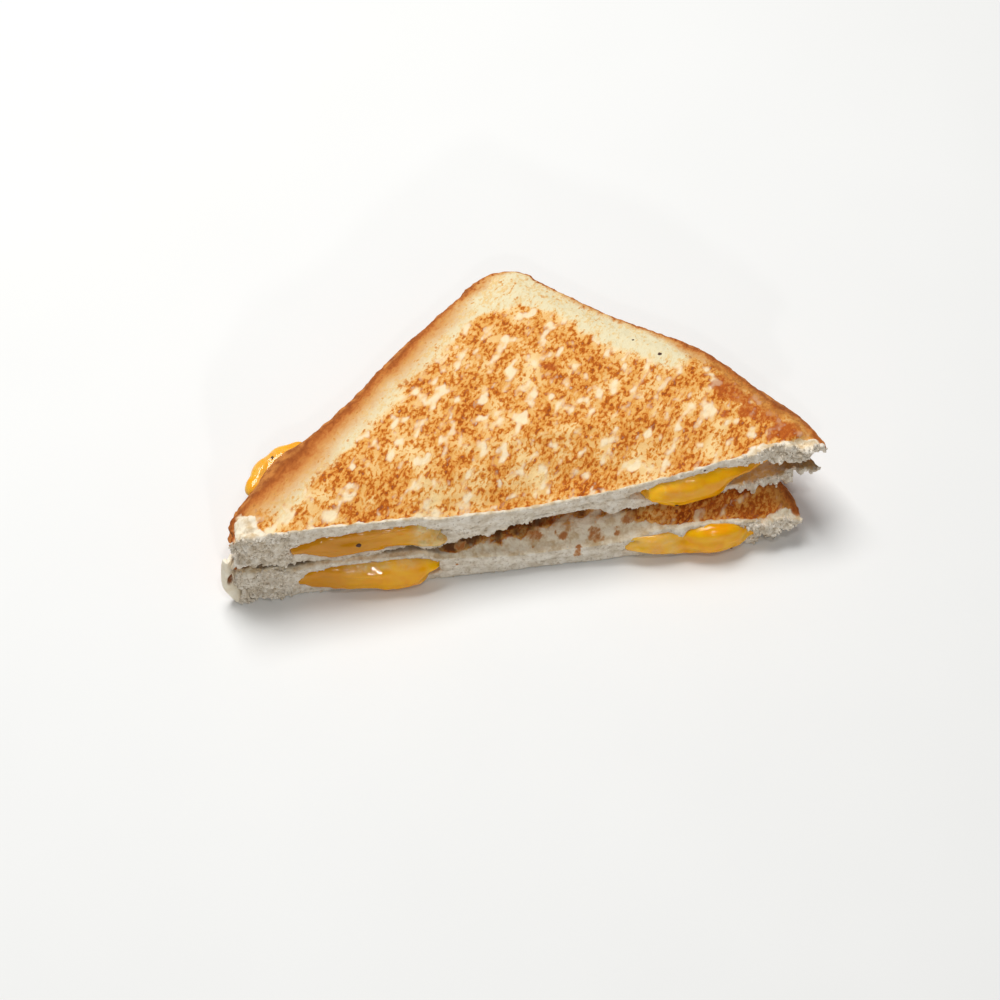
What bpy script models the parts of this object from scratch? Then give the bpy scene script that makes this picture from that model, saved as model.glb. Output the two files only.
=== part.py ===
"""Grilled cheese sandwich: toasted sandwich bread and melted cheese, cut corner to corner, one half laid on the other.

Metres, +Z up. The cut faces look along -Y and the crust corner points along +Y. Each half is two slices of bread
round one layer of cheese. The knife has pressed the bread thin along the cut: it is pinched nearly shut in the
middle, and cheese swells out to the left and the right of the pinch. The origin is under the middle of the stack.
"""

import bmesh
import bpy
import numpy as np

# ---------------------------------------------------------------- driving sizes
BREAD = 0.0056  # thickness of a slice well inside the sandwich
CHEESE = 0.0020  # thickness of the cheese well inside
CHEESE_LEAST = 0.0003  # thickness of the cheese where the bread is pinched and along the crust
CHEESE_INSET = (0.001, 0.010)  # distances in from the crust where it is that thin, and where it is full
GAP = 0.0004  # clearance between pieces that touch
HALF_HEIGHT = 2.0 * BREAD + CHEESE + 2.0 * GAP

# Stations along a cut: the left tip, four for where the left swell of cheese starts, is full, is still full and ends,
# two in the pinch, four for the right swell, and the right tip.
STATIONS = np.array([-0.074, -0.057, -0.050, -0.025, -0.017, 0.005, 0.017, 0.030, 0.040, 0.056, 0.066, 0.076])

# Plan grid of a half: columns run from the cut back to the crust, and rows lie along the cut.
COLUMNS = 32
FRONT_ROWS = (0.0, 0.0025, 0.006, 0.011, 0.018)  # distances in from the cut
MIDDLE_ROWS = 1
BACK_ROWS = (0.012, 0.006, 0.0025, 0.0009, 0.0)  # distances in from the crust
ROWS = len(FRONT_ROWS) + MIDDLE_ROWS + len(BACK_ROWS) - 1
SHORT_COLUMN = 0.045  # rows crowd together in columns shorter than this
END_BLEND = 5  # columns over which the grid takes up the round of a crust corner
LEVELS = 2  # cells through a thickness
CORNER_CROWDING = 1.3  # over 1 crowds the columns round the back corner
SIDE_POINTS, CORNER_POINTS, END_POINTS = 120, 40, 12  # points that describe a crust side and its round corners

BARE_COLUMNS = 1  # columns without cheese at each tip
CHEESE_BACK_ROW = ROWS - 3  # the last row with cheese in it, 6 mm in from the crust
CHEESE_FRONT_SHARES = np.array([1.0, 0.55])  # rows past the cut, as shares of how far the cheese stands out
CHEESE_HANG_SHARES = np.array([1.0, 0.85])  # how much of a drip's drop the underside of each takes
CHEESE_TOP_HANG = 0.4  # how much of that the top takes
CHEESE_ROUND_SHARES = np.array([0.40, 0.10])  # how much of the thickness is rounded off the top of each
CHEESE_BACK_SHARES = np.array([0.45, 0.18, 0.0])  # the last rows, as shares back from the last one
CHEESE_THIN_SHARES = np.array([0.0, 0.04, 0.18])  # how much of the thickness is rounded off each face there
BASE_REACH = 0.006  # how far in from the cut a half's underside eases
LEAK_WIDTH = 0.010  # how far round a leak through the crust side the slices are held apart
LEAK_REACH = 0.0046  # how far it stands out there

OUTER_ROUND = 0.0030  # rounding of a toasted face's crust edge
INNER_ROUND = 0.0014  # rounding of the crust edge next to the cheese
BELLY = 0.0006  # how far the crust swells out at mid thickness
CRUST_BAND = 0.003  # how far in from the crust a slice follows the shift of its crust
NOTCH_SHARE = 0.3  # half width of the notch, as a share of the back corner's radius
LEAST_WALL = 0.35  # share of a slice's thickness left standing at its crust


# ---------------------------------------------------------------- helpers
def smooth_step(value, low, high):
    """0 below low, 1 above high, smooth between."""
    share = np.clip((value - low) / (high - low), 0.0, 1.0)
    return share * share * (3.0 - 2.0 * share)


def hump(value, half_width):
    """A smooth hump, 1 where value is 0 and about a third where it is half_width."""
    return np.exp(-((value / half_width) ** 2))


def along_cut(x, at_stations):
    """A value that eases from station to station along the cut."""
    value = np.full_like(x, at_stations[0])
    for low, high, before, after in zip(STATIONS, STATIONS[1:], at_stations, at_stations[1:]):
        value += (after - before) * smooth_step(x, low, high)
    return value


def unit(vector):
    return vector / np.linalg.norm(vector)


def arc_points(centre, radius, start, end, count):
    """Points on the shorter arc round centre from the direction of start to that of end."""
    first, last = (np.arctan2(point[1] - centre[1], point[0] - centre[0]) for point in (start, end))
    angles = np.linspace(first, last, count)
    return centre + radius * np.column_stack([np.cos(angles), np.sin(angles)])


# ---------------------------------------------------------------- plan of one half
class Plan:
    """One half seen from above: the cut, a round crust corner at each end of it, and two crust sides.

    left, back and right are where the corners would be if they were sharp, and rounds are their radii. bow pushes
    the middle of the cut forward, swells push the left and right crust sides out, and notch dents the left of the
    back corner.
    """

    def __init__(self, left, back, right, rounds, bow, swells, notch):
        self.left, self.back, self.right = (np.array(corner) for corner in (left, back, right))
        self.rounds = rounds
        self.bow = bow
        diagonal = unit(self.right - self.left)
        cut_share = np.sqrt(2.0) - 1.0  # a diagonal cut meets a round corner this many radii in
        self.cut_left = self.left + diagonal * rounds[0] * cut_share
        self.cut_right = self.right - diagonal * rounds[2] * cut_share
        self.crust = self.crust_line(swells, notch)
        steps = np.linalg.norm(np.diff(self.crust, axis=0), axis=1)
        self.crust_length = np.concatenate([[0.0], np.cumsum(steps)])
        self.rim = np.concatenate([self.end_arc(0), self.crust, self.end_arc(1)[::-1]])

    def crust_line(self, swells, notch):
        """Points along both crust sides, from the left corner round the back corner to the right one."""
        radius = self.rounds[1]
        to_left, to_right = unit(self.left - self.back), unit(self.right - self.back)
        half_angle = 0.5 * np.arccos(to_left @ to_right)
        reach = radius / np.tan(half_angle)
        start, end = self.back + to_left * reach, self.back + to_right * reach
        centre = self.back + unit(to_left + to_right) * radius / np.sin(half_angle)
        corner = arc_points(centre, radius, start, end, CORNER_POINTS)
        share = np.linspace(0.0, 1.0, SIDE_POINTS)[:, None]
        bend = np.sin(np.pi * share**2) ** 2
        side_start = self.left - to_left * self.rounds[0]
        side_end = self.right - to_right * self.rounds[2]
        left_side = side_start + (start - side_start) * share + (start - centre) / radius * swells[0] * bend
        right_side = end + (side_end - end) * share + (end - centre) / radius * swells[1] * bend
        line = np.concatenate([left_side[:-1], corner, right_side[1:]])
        dent = notch * hump(np.linalg.norm(line - start, axis=1), NOTCH_SHARE * radius)
        return line + (centre - start) / radius * dent[:, None]

    def end_arc(self, side):
        """Points round the crust corner at the left (0) or right (1) end, from the cut to the crust side."""
        front, back = (self.cut_left, self.crust[0]) if side == 0 else (self.cut_right, self.crust[-1])
        chord = back - front
        outward = unit(np.array([-chord[1], chord[0]])) * (1.0 if side == 0 else -1.0)
        sagitta = self.rounds[2 * side] * (1.0 - np.cos(np.pi / 8.0))
        share = np.linspace(0.0, 1.0, END_POINTS)[:, None]
        return front + chord * share + outward * sagitta * np.sin(np.pi * share)

    def cut_y(self, x):
        share = np.clip((x - self.cut_left[0]) / (self.cut_right[0] - self.cut_left[0]), 0.0, 1.0)
        straight = self.cut_left[1] + (self.cut_right[1] - self.cut_left[1]) * share
        return straight - self.bow * np.sin(np.pi * share)

    def crust_point(self, q):
        """Points of the crust line for q from -1 to 1, with 0 at the back corner and points crowded round it."""
        middle = self.crust_length[-1] * 0.5
        length = middle + middle * np.sign(q) * np.abs(q) ** CORNER_CROWDING
        return np.column_stack([np.interp(length, self.crust_length, self.crust[:, axis]) for axis in (0, 1)])

    def from_rim(self, points):
        """Distance of each point in from the crust."""
        return np.min(np.linalg.norm(points[..., None, :] - self.rim, axis=-1), axis=-1)

    def grid(self):
        """The points (column, row) of the half's plan grid, and how far in from the cut each one lies."""
        q = np.linspace(-1.0, 1.0, COLUMNS + 1)
        x = self.cut_left[0] + (self.cut_right[0] - self.cut_left[0]) * (0.5 + 0.5 * q)
        front = np.column_stack([x, self.cut_y(x)])
        back = self.crust_point(q)
        length = np.linalg.norm(back - front, axis=1)
        crowd = np.minimum(1.0, length / SHORT_COLUMN)
        near = [distance * crowd for distance in FRONT_ROWS]
        far = [length - distance * crowd for distance in BACK_ROWS]
        shares = np.linspace(0.0, 1.0, MIDDLE_ROWS + 2)[1:-1]
        depth = np.array(near + [near[-1] + (far[0] - near[-1]) * share for share in shares] + far).T
        share = depth / length[:, None]
        points = front[:, None] + (back - front)[:, None] * share[:, :, None]
        for side, end in ((0, 0), (1, COLUMNS)):
            arc = self.end_arc(side)
            steps = np.linspace(0.0, 1.0, len(arc))
            bent = np.column_stack([np.interp(share[end], steps, arc[:, axis]) for axis in (0, 1)])
            offset = bent - points[end]
            for step in range(END_BLEND):
                points[abs(end - step)] += offset * (1.0 - step / END_BLEND) ** 2
        return points, depth


# ---------------------------------------------------------------- one half of the sandwich
class Half:
    """Two slices of bread and the cheese between them, on one plan grid.

    faces holds the heights of the lower slice's two faces and then the upper slice's. The values called at_cut are
    given at the stations, and ease into the half's inner heights over reach, and the base over BASE_REACH. leak
    names the columns whose cheese runs out through the crust side, and how far, as shares of LEAK_REACH.
    """

    def __init__(self, plan, base, base_at_cut, bottom_at_cut, cheese_at_cut, top_at_cut, reach, droop, leak):
        self.points, self.depth = plan.grid()
        self.rim_distance = plan.from_rim(self.points)
        self.rim_distance[:, -1] = 0.0
        self.rim_distance[[0, -1]] = 0.0
        self.leak = leak
        x = self.points[..., 0]
        squeeze = hump(self.depth, reach)

        def eased(inside, at_cut, share=squeeze):
            return inside * (1.0 - share) + along_cut(x, at_cut) * share

        opened = smooth_step(self.rim_distance, *CHEESE_INSET)
        for column, share in leak.items():
            from_leak = np.linalg.norm(self.points - self.points[column, -1], axis=-1)
            opened = np.maximum(opened, share * hump(from_leak, LEAK_WIDTH))
        floor = eased(base, base_at_cut, hump(self.depth, BASE_REACH)) - droop * (1.0 - opened) * (1.0 - squeeze)
        cheese = np.maximum(eased(CHEESE * opened, cheese_at_cut), CHEESE_LEAST)
        bottom = floor + eased(BREAD, bottom_at_cut)
        ceiling = bottom + 2.0 * GAP + cheese
        self.faces = np.array([floor, bottom, ceiling, ceiling + eased(BREAD, top_at_cut)])

    def outward(self, column):
        """The direction straight out of the crust at a column."""
        along = unit(self.points[column + 1, -1] - self.points[column - 1, -1])
        return np.array([-along[1], along[0]])


# ---------------------------------------------------------------- solids
def block(name, cells, points, collection, material):
    """A box cut into cells on each axis, with its points moved to points[column, row, level]."""
    bm = bmesh.new()
    bmesh.ops.create_cube(bm, size=1.0)
    for axis, count in enumerate(cells):
        for cut in range(1, count):
            place, normal = [0.0, 0.0, 0.0], [0.0, 0.0, 0.0]
            place[axis], normal[axis] = cut / count - 0.5, 1.0
            everything = bm.verts[:] + bm.edges[:] + bm.faces[:]
            bmesh.ops.bisect_plane(bm, geom=everything, plane_co=place, plane_no=normal)
    place_of = {v: tuple(round((v.co[axis] + 0.5) * cells[axis]) for axis in range(3)) for v in bm.verts}
    for vertex, place in place_of.items():
        vertex.co = points[place]
    for face in bm.faces[:]:  # every piece splits its faces the same way, so faces that touch stay parallel
        corners = sorted(face.verts, key=lambda vertex: sum(place_of[vertex]))
        bmesh.utils.face_split(face, corners[0], corners[-1])
    bmesh.ops.recalc_face_normals(bm, faces=bm.faces[:])
    mesh = bpy.data.meshes.new(name)
    bm.to_mesh(mesh)
    bm.free()
    mesh.shade_smooth()
    mesh.set_sharp_from_angle(angle=np.radians(40.0))
    mesh.materials.append(material)
    piece = bpy.data.objects.new(name, mesh)
    collection.objects.link(piece)
    return piece


def stack_levels(plan_points, bottom, top):
    """Points (column, row, level, 3) that fill the thickness between two faces."""
    share = np.linspace(0.0, 1.0, LEVELS + 1)
    height = bottom[..., None] + (top - bottom)[..., None] * share
    flat = np.broadcast_to(plan_points[:, :, None, :], (*height.shape, 2))
    return np.concatenate([flat, height[..., None]], axis=-1)


def round_drop(rim_distance, radius):
    """How far a quarter-round edge drops a face at a distance in from the crust."""
    inside = np.clip(1.0 - rim_distance / radius, 0.0, 1.0)
    return radius * (1.0 - np.sqrt(1.0 - inside**2))


def bread_slice(name, half, is_upper, crust_shift, collection, material):
    """One slice of a half. crust_shift moves its crust in plan, so that the two crusts don't lie flush."""
    low, high = (half.faces[2], half.faces[3]) if is_upper else (half.faces[0], half.faces[1])
    outer, inner = round_drop(half.rim_distance, OUTER_ROUND), round_drop(half.rim_distance, INNER_ROUND)
    allowed = (1.0 - LEAST_WALL) * (high - low) / np.maximum(outer + inner, 1e-9)
    outer, inner = outer * np.minimum(1.0, allowed), inner * np.minimum(1.0, allowed)
    top_drop, bottom_rise = (outer, inner) if is_upper else (inner, outer)
    points = stack_levels(half.points, low + bottom_rise, high - top_drop)

    crust = 1.0 - smooth_step(half.rim_distance, 0.0, CRUST_BAND)
    crust *= smooth_step(half.depth, 0.0, 2.0 * CRUST_BAND)
    outward = half.points - half.points.mean(axis=(0, 1))
    outward /= np.linalg.norm(outward, axis=-1, keepdims=True)
    points[..., :2] += (np.array(crust_shift) * crust[..., None])[:, :, None, :]
    points[:, :, 1, :2] += outward * (BELLY * (half.rim_distance == 0.0))[..., None]
    return block(name, (COLUMNS, ROWS, LEVELS), points, collection, material)


class Drip:
    """Where cheese that has swelled past the cut hangs down in front of the slice under it."""

    def __init__(self, centre, half_width, drop):
        self.centre, self.half_width, self.drop = centre, half_width, drop

    def depth(self, x):
        return self.drop * hump(x - self.centre, self.half_width)


def cheese_distances(half, column, out):
    """How far in from the cut each row of cheese lies in a column. It starts out past the cut, at -out."""
    depth = half.depth[column]
    last = depth[CHEESE_BACK_ROW]
    if column in half.leak:
        last = depth[-1] + LEAK_REACH * half.leak[column]
    inner = depth[:CHEESE_BACK_ROW]
    spare = last - inner[-1]
    return np.concatenate([-out * CHEESE_FRONT_SHARES, inner, last - spare * CHEESE_BACK_SHARES])


def cheese_layer(name, half, out_at_cut, drips, collection, material):
    """The cheese of one half. out_at_cut is how far its front stands out past the cut at the stations."""
    columns = range(BARE_COLUMNS, COLUMNS + 1 - BARE_COLUMNS)
    levels = []
    for column in columns:
        depth, line = half.depth[column], half.points[column]
        start_x = line[0, 0]
        distance = cheese_distances(half, column, along_cut(np.array([start_x]), out_at_cut)[0])
        inside = np.clip(distance, 0.0, depth[-1])
        plan_points = np.column_stack([np.interp(inside, depth, line[:, axis]) for axis in (0, 1)])
        past = (distance - inside)[:, None]
        plan_points += np.where(past < 0.0, unit(line[-1] - line[0]), half.outward(column)) * past
        floor, ceiling = (np.interp(inside, depth, half.faces[face][column]) for face in (1, 2))
        bottom, top = floor + GAP, ceiling - GAP
        front = slice(0, len(CHEESE_FRONT_SHARES))
        hang = sum(drip.depth(start_x) for drip in drips)
        bottom[front] -= hang * CHEESE_HANG_SHARES
        top[front] -= CHEESE_TOP_HANG * hang * CHEESE_HANG_SHARES + (top - bottom)[front] * CHEESE_ROUND_SHARES
        back = slice(-len(CHEESE_BACK_SHARES), None)
        thinned = (top - bottom)[back] * CHEESE_THIN_SHARES
        bottom[back] += thinned
        top[back] -= thinned
        levels.append(stack_levels(plan_points[None], bottom[None], top[None])[0])
    points = np.array(levels)
    cells = (points.shape[0] - 1, points.shape[1] - 1, LEVELS)
    return block(name, cells, points, collection, material)


# ---------------------------------------------------------------- materials and placing
def principled(name, colour, roughness):
    material = bpy.data.materials.new(name)
    material.use_nodes = True
    shader = material.node_tree.nodes["Principled BSDF"]
    shader.inputs["Base Color"].default_value = (*colour, 1.0)
    shader.inputs["Roughness"].default_value = roughness
    shader.inputs["Metallic"].default_value = 0.0
    return material


def clear_scene():
    for old in list(bpy.data.objects):
        bpy.data.objects.remove(old, do_unlink=True)


def stand_on_origin(pieces, collection):
    """Parents the pieces to an empty that puts the stack on z = 0 with its middle over the origin."""
    corners = np.concatenate([[vertex.co[:] for vertex in piece.data.vertices] for piece in pieces])
    low, high = corners.min(axis=0), corners.max(axis=0)
    stack = bpy.data.objects.new("stack", None)
    stack.location = (-(low[0] + high[0]) / 2.0, -(low[1] + high[1]) / 2.0, -low[2])
    collection.objects.link(stack)
    for piece in pieces:
        piece.parent = stack


def lower_half():
    plan = Plan(
        left=(-0.0810, -0.0003),
        back=(0.0040, 0.0780),
        right=(0.0850, 0.0006),
        rounds=(0.014, 0.012, 0.022),
        bow=0.0003,
        swells=(-0.0006, 0.0),
        notch=0.0,
    )
    return Half(
        plan,
        base=0.0,
        base_at_cut=(0.0, 0.0, 0.0, 0.0, 0.0, 0.0, 0.0, 0.0, 0.0, 0.0, 0.0, 0.0015),
        bottom_at_cut=(0.0058, 0.0052, 0.0028, 0.0022, 0.0028, 0.0026, 0.0026, 0.0026, 0.0022, 0.0024, 0.0030, 0.0034),
        cheese_at_cut=(0.0, 0.0, 0.0076, 0.0078, 0.0, 0.0, 0.0, 0.0008, 0.0064, 0.0056, 0.0010, 0.0006),
        top_at_cut=(0.0058, 0.0048, 0.0012, 0.0012, 0.0046, 0.0028, 0.0030, 0.0032, 0.0016, 0.0018, 0.0034, 0.0036),
        reach=0.0080,
        droop=0.0,
        leak={},
    )


def upper_half():
    plan = Plan(
        left=(-0.0822, -0.0001),
        back=(0.0075, 0.0848),
        right=(0.0950, 0.0106),
        rounds=(0.0225, 0.010, 0.030),
        bow=0.0010,
        swells=(0.0010, 0.0034),
        notch=0.0018,
    )
    return Half(
        plan,
        base=HALF_HEIGHT + GAP,
        base_at_cut=(0.0132, 0.0136, 0.0131, 0.0130, 0.0116, 0.0132, 0.0166, 0.0140, 0.0136, 0.0142, 0.0144, 0.0146),
        bottom_at_cut=(0.0058, 0.0040, 0.0012, 0.0012, 0.0044, 0.0032, 0.0019, 0.0038, 0.0016, 0.0016, 0.0020, 0.0032),
        cheese_at_cut=(0.0, 0.0, 0.0066, 0.0068, 0.0, 0.0, 0.0, 0.0004, 0.0064, 0.0078, 0.0070, 0.0040),
        top_at_cut=(0.0066, 0.0076, 0.0044, 0.0026, 0.0050, 0.0034, 0.0024, 0.0036, 0.0020, 0.0024, 0.0036, 0.0050),
        reach=0.012,
        droop=0.0012,
        leak={1: 0.6, 2: 1.0, 3: 0.5},
    )


def main():
    clear_scene()
    collection = bpy.data.collections.new("grilled_cheese_sandwich")
    bpy.context.scene.collection.children.link(collection)
    toast = principled("toasted_bread", (0.80, 0.56, 0.29), 0.75)
    cheese = principled("melted_cheese", (0.87, 0.52, 0.07), 0.30)
    lower, upper = lower_half(), upper_half()
    lower_out = (0.0002, 0.0002, 0.0012, 0.0024, 0.0002, 0.0002, 0.0002, 0.0004, 0.0020, 0.0024, 0.0004, 0.0002)
    upper_out = (0.0002, 0.0002, 0.0008, 0.0008, 0.0002, 0.0002, 0.0002, 0.0004, 0.0032, 0.0016, 0.0002, 0.0002)
    lower_drips = (Drip(-0.034, 0.010, 0.0020), Drip(0.048, 0.010, 0.0018))
    upper_drips = (Drip(-0.036, 0.012, 0.0008), Drip(0.043, 0.009, 0.0026))
    pieces = [
        bread_slice("lower_half_bottom_bread", lower, False, (0.0, 0.0), collection, toast),
        cheese_layer("lower_half_cheese", lower, lower_out, lower_drips, collection, cheese),
        bread_slice("lower_half_top_bread", lower, True, (0.0004, -0.0006), collection, toast),
        bread_slice("upper_half_bottom_bread", upper, False, (-0.0008, 0.0004), collection, toast),
        cheese_layer("upper_half_cheese", upper, upper_out, upper_drips, collection, cheese),
        bread_slice("upper_half_top_bread", upper, True, (0.0, 0.0), collection, toast),
    ]
    stand_on_origin(pieces, collection)


main()
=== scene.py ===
"""Looks of the grilled cheese sandwich: crumb, toasted faces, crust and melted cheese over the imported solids.

Everything is in metres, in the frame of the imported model: the cut faces look along -Y, and +Z is up. Each
slice of bread and each layer of cheese is a dense copy of its solid. The copy is smoothed, then pushed in and
out by noise. It carries attributes that its material reads, so that colour and relief agree: how far each
point is from the crust and the cut, in millimetres, and how much it is toasted, bare, browned or wet.
"""

import math

import bmesh
import bpy
import numpy as np
from mathutils import Matrix, Vector, noise
from mathutils.bvhtree import BVHTree


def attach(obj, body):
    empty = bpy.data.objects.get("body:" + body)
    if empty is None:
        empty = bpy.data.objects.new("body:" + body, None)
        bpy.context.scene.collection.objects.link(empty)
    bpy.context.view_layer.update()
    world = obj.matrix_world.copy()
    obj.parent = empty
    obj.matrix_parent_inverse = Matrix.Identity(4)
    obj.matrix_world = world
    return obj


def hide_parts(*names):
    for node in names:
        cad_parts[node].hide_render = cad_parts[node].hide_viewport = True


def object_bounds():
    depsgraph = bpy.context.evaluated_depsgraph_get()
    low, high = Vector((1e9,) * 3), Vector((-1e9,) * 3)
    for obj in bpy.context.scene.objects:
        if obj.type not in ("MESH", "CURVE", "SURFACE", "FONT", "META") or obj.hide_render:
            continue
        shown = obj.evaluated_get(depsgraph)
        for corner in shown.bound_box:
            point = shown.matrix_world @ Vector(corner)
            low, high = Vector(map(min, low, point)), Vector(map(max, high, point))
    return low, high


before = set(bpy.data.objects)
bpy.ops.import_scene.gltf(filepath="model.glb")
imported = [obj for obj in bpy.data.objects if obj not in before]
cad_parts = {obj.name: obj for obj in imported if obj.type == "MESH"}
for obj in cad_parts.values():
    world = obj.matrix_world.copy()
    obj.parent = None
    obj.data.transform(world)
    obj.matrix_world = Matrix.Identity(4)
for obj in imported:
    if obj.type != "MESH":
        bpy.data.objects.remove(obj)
cad_low, cad_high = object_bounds()

MM = 0.001
LOWEST = cad_low[2] + 0.00001  # no point of the dressed part lies lower than this

BREAD_VOXEL, BREAD_SMOOTHING = 0.56 * MM, 8
CHEESE_VOXEL, CHEESE_SMOOTHING = 0.48 * MM, 24
FINE_DEPTH = 2.6 * MM  # how far in from the cut the bread's mesh is twice as fine
CRISP_DEPTH = (1.2 * MM, 3.0 * MM)  # within the first the bread isn't smoothed, and past the second it is
CUT_BINS = 34  # how many stretches a cut is measured in
SLICES = {  # which way the toasted face looks, and the other slice of the half
    "lower_half_bottom_bread": (-1.0, "lower_half_top_bread"),
    "lower_half_top_bread": (1.0, "lower_half_bottom_bread"),
    "upper_half_bottom_bread": (-1.0, "upper_half_top_bread"),
    "upper_half_top_bread": (1.0, "upper_half_bottom_bread"),
}
BREAD_ATTRIBUTES = (
    "rim", "depth", "toasted", "bare", "brown", "scorch", "roast", "wet", "deep", "spot", "inset",
)
SHUT_GAP = (1.3 * MM, 2.2 * MM)  # slices this close are pressed together, and those further apart aren't
SHUT_OVERLAP = 0.12 * MM  # how far each slice then reaches past the middle of the gap
CHEESE_SWELL = 0.45  # millimetres: past the solids' clearance of 0.4, so that the cheese touches the bread

# Nudges that shape single places: a centre, how far the nudge reaches on each axis, and how far it moves the
# surface, all in millimetres.
NUDGES = {
    "upper_half_top_bread": (
        ((-78, -37, 22), (7, 5, 5), (2.2, 1.8, -0.6)),
        ((-68, -38, 20), (4, 3, 4), (0.0, 1.6, 0.0)),
        ((-60, -38, 22), (5, 3, 3), (0.0, -0.9, 0.0)),
        ((73.5, -29.4, 27), (5, 4, 4), (0.0, 1.2, -2.2)),
        ((66, -31, 27), (8, 4, 4), (0.0, 1.6, 0.4)),
        ((77, -29, 24), (3, 4, 3), (0.8, 0.4, 1.4)),
        ((52, -33, 26), (7, 3, 3), (0.0, 0.8, 0.0)),
        ((13.4, 2.0, 26), (4.5, 3, 3), (0.0, 0.0, -0.8)),
        ((9, -3, 26), (6, 3, 3), (0.0, 0.0, -0.4)),
        ((-64, -14, 23), (13, 10, 8), (-1.9, 2.2, -0.4)),
        ((-2.5, 37.5, 24), (8, 6, 8), (-2.6, 0.8, 0.0)),
        ((9, 38, 24), (5, 5, 8), (1.0, 0.2, 0.0)),
    ),
    "upper_half_bottom_bread": (
        ((-42, -39, 13), (20, 4, 2.4), (0.0, -1.2, -0.9)),
        ((-24, -38, 12), (8, 4, 2.4), (0.0, -0.9, -0.4)),
        ((4, -35, 13), (27, 6, 3.4), (0.0, 0.0, 1.9)),
        ((9, -35, 14), (14, 6, 4), (0.0, 0.0, 1.1)),
        ((-8, -37, 13), (5, 3, 2.4), (0.0, -0.8, -0.5)),
        ((23, -34, 15), (4, 4, 3), (0.0, -0.8, -1.0)),
        ((-70, -39, 15), (6, 4, 4), (0.0, 1.2, 0.4)),
        ((-79, -37, 16), (7, 6, 5), (3.0, 2.2, 0.6)),
        ((60, -32, 14), (5, 3, 3), (0.0, -0.9, -0.6)),
        ((72, -30, 15), (5, 4, 4), (0.0, 1.6, 1.2)),
        ((79, -28, 15), (9, 6, 5), (-3.2, 1.5, 0.2)),
    ),
    "lower_half_top_bread": (
        ((-66, -40, 10), (5, 3, 3), (0.0, 0.9, 0.6)),
        ((-80, -39, 10), (8, 7, 6), (3.6, 3.0, 0.0)),
        ((-60, -40, 11), (6, 3, 2), (0.0, -0.8, 0.6)),
        ((6, -31, 12), (30, 6, 5), (0.0, 0.0, -1.8)),
        ((64, -39, 6), (7, 4, 3), (0.0, -1.4, -0.8)),
        ((70, -38, 7), (5, 4, 4), (0.0, -0.8, -0.5)),
        ((40, -40, 9.5), (3, 3, 2.5), (0.0, -1.4, -1.8)),
    ),
    "lower_half_bottom_bread": (
        ((66, -38, 3), (9, 9, 6), (0.0, 4.0, 0.8)),
        ((74, -38, 3), (8, 9, 6), (-2.0, 4.0, 1.2)),
        ((-80, -39, 3), (8, 7, 6), (3.6, 3.0, 0.0)),
    ),
    "upper_half_cheese": (
        ((36, -34, 20), (7, 5, 5), (0.0, -0.3, 0.6)),
        ((42, -36, 13), (14, 5, 4), (0.0, 0.9, 1.2)),
        ((58, -32, 17), (9, 8, 6), (0.0, 3.4, 1.6)),
        ((66, -31, 18), (9, 9, 8), (0.0, 6.5, 1.4)),
        ((75, -30, 17), (8, 8, 8), (-3.0, 5.0, 0.0)),
        ((-23, -37, 16), (5, 4, 4), (0.0, -1.2, -1.2)),
        ((-45, -38, 19), (12, 4, 3), (0.0, 0.9, 0.0)),
        ((28.5, -34, 18), (5.5, 4.5, 5), (2.0, 3.8, 0.0)),
        ((34, -36, 15.5), (8, 5, 4), (0.5, 1.0, 1.5)),
    ),
    "lower_half_cheese": (
        ((-31, -41, 5), (7, 4, 4), (0.0, -0.7, -0.8)),
        ((-20, -41, 5), (7, 4, 5), (-1.0, 0.0, 2.4)),
        ((-46, -41, 9), (10, 4, 2.5), (0.0, -0.5, 0.0)),
        ((-54, -40, 6), (6, 4, 5), (0.0, 1.6, 0.0)),
        ((33, -40, 5), (7, 4, 3), (0.0, -0.3, -0.6)),
        ((41, -41, 5), (3, 3, 6), (0.0, 0.8, 0.0)),
        ((49, -41, 4), (7, 4, 4), (0.0, -1.0, -0.8)),
        ((50, -41, 9), (6, 3, 2.5), (0.0, -0.7, 0.3)),
        ((59, -40, 5), (5, 5, 5), (0.0, 1.4, 0.6)),
        ((-22.5, -41.5, 3.6), (7, 6, 4.2), (-2.6, 1.4, 1.2)),
        ((27, -41, 2.5), (7, 4, 2.5), (0.0, 0.6, 0.9)),
        ((27, -41, 7), (7, 4, 2.5), (0.0, 0.6, -0.6)),
    ),
}

# Rounded lumps of cheese that join the swells and the leak: centre, radii along, across and up, in
# millimetres, and the turn about Z in degrees.
LUMPS = {
    "upper_half_cheese": (
        ((-67.6, -18.6, 20.6), (3.6, 2.2, 1.9), 60),
        ((-64.8, -14.8, 20.8), (4.6, 3.0, 2.2), 50),
        ((-60.8, -11.8, 21.0), (4.8, 3.0, 2.2), 40),
        ((-57.0, -9.8, 21.0), (3.6, 2.2, 1.8), 35),
        ((39.5, -33.7, 18.8), (7.0, 1.7, 2.8), 4),
        ((46.0, -33.2, 19.0), (8.0, 1.8, 3.0), 6),
        ((-24.5, -37.4, 14.6), (4.4, 1.3, 1.5), 3),
    ),
    "lower_half_cheese": (
        ((33.0, -39.6, 5.4), (8.0, 1.8, 3.0), 0),
        ((49.0, -39.8, 5.4), (9.5, 3.0, 4.8), 0),
        ((-34.0, -40.2, 5.6), (12.0, 2.2, 5.2), 0),
        ((-50.0, -39.8, 7.4), (8.0, 1.3, 3.4), 0),
        ((-31.0, -40.8, 4.2), (5.0, 1.8, 3.4), -4),
    ),
}
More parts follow.
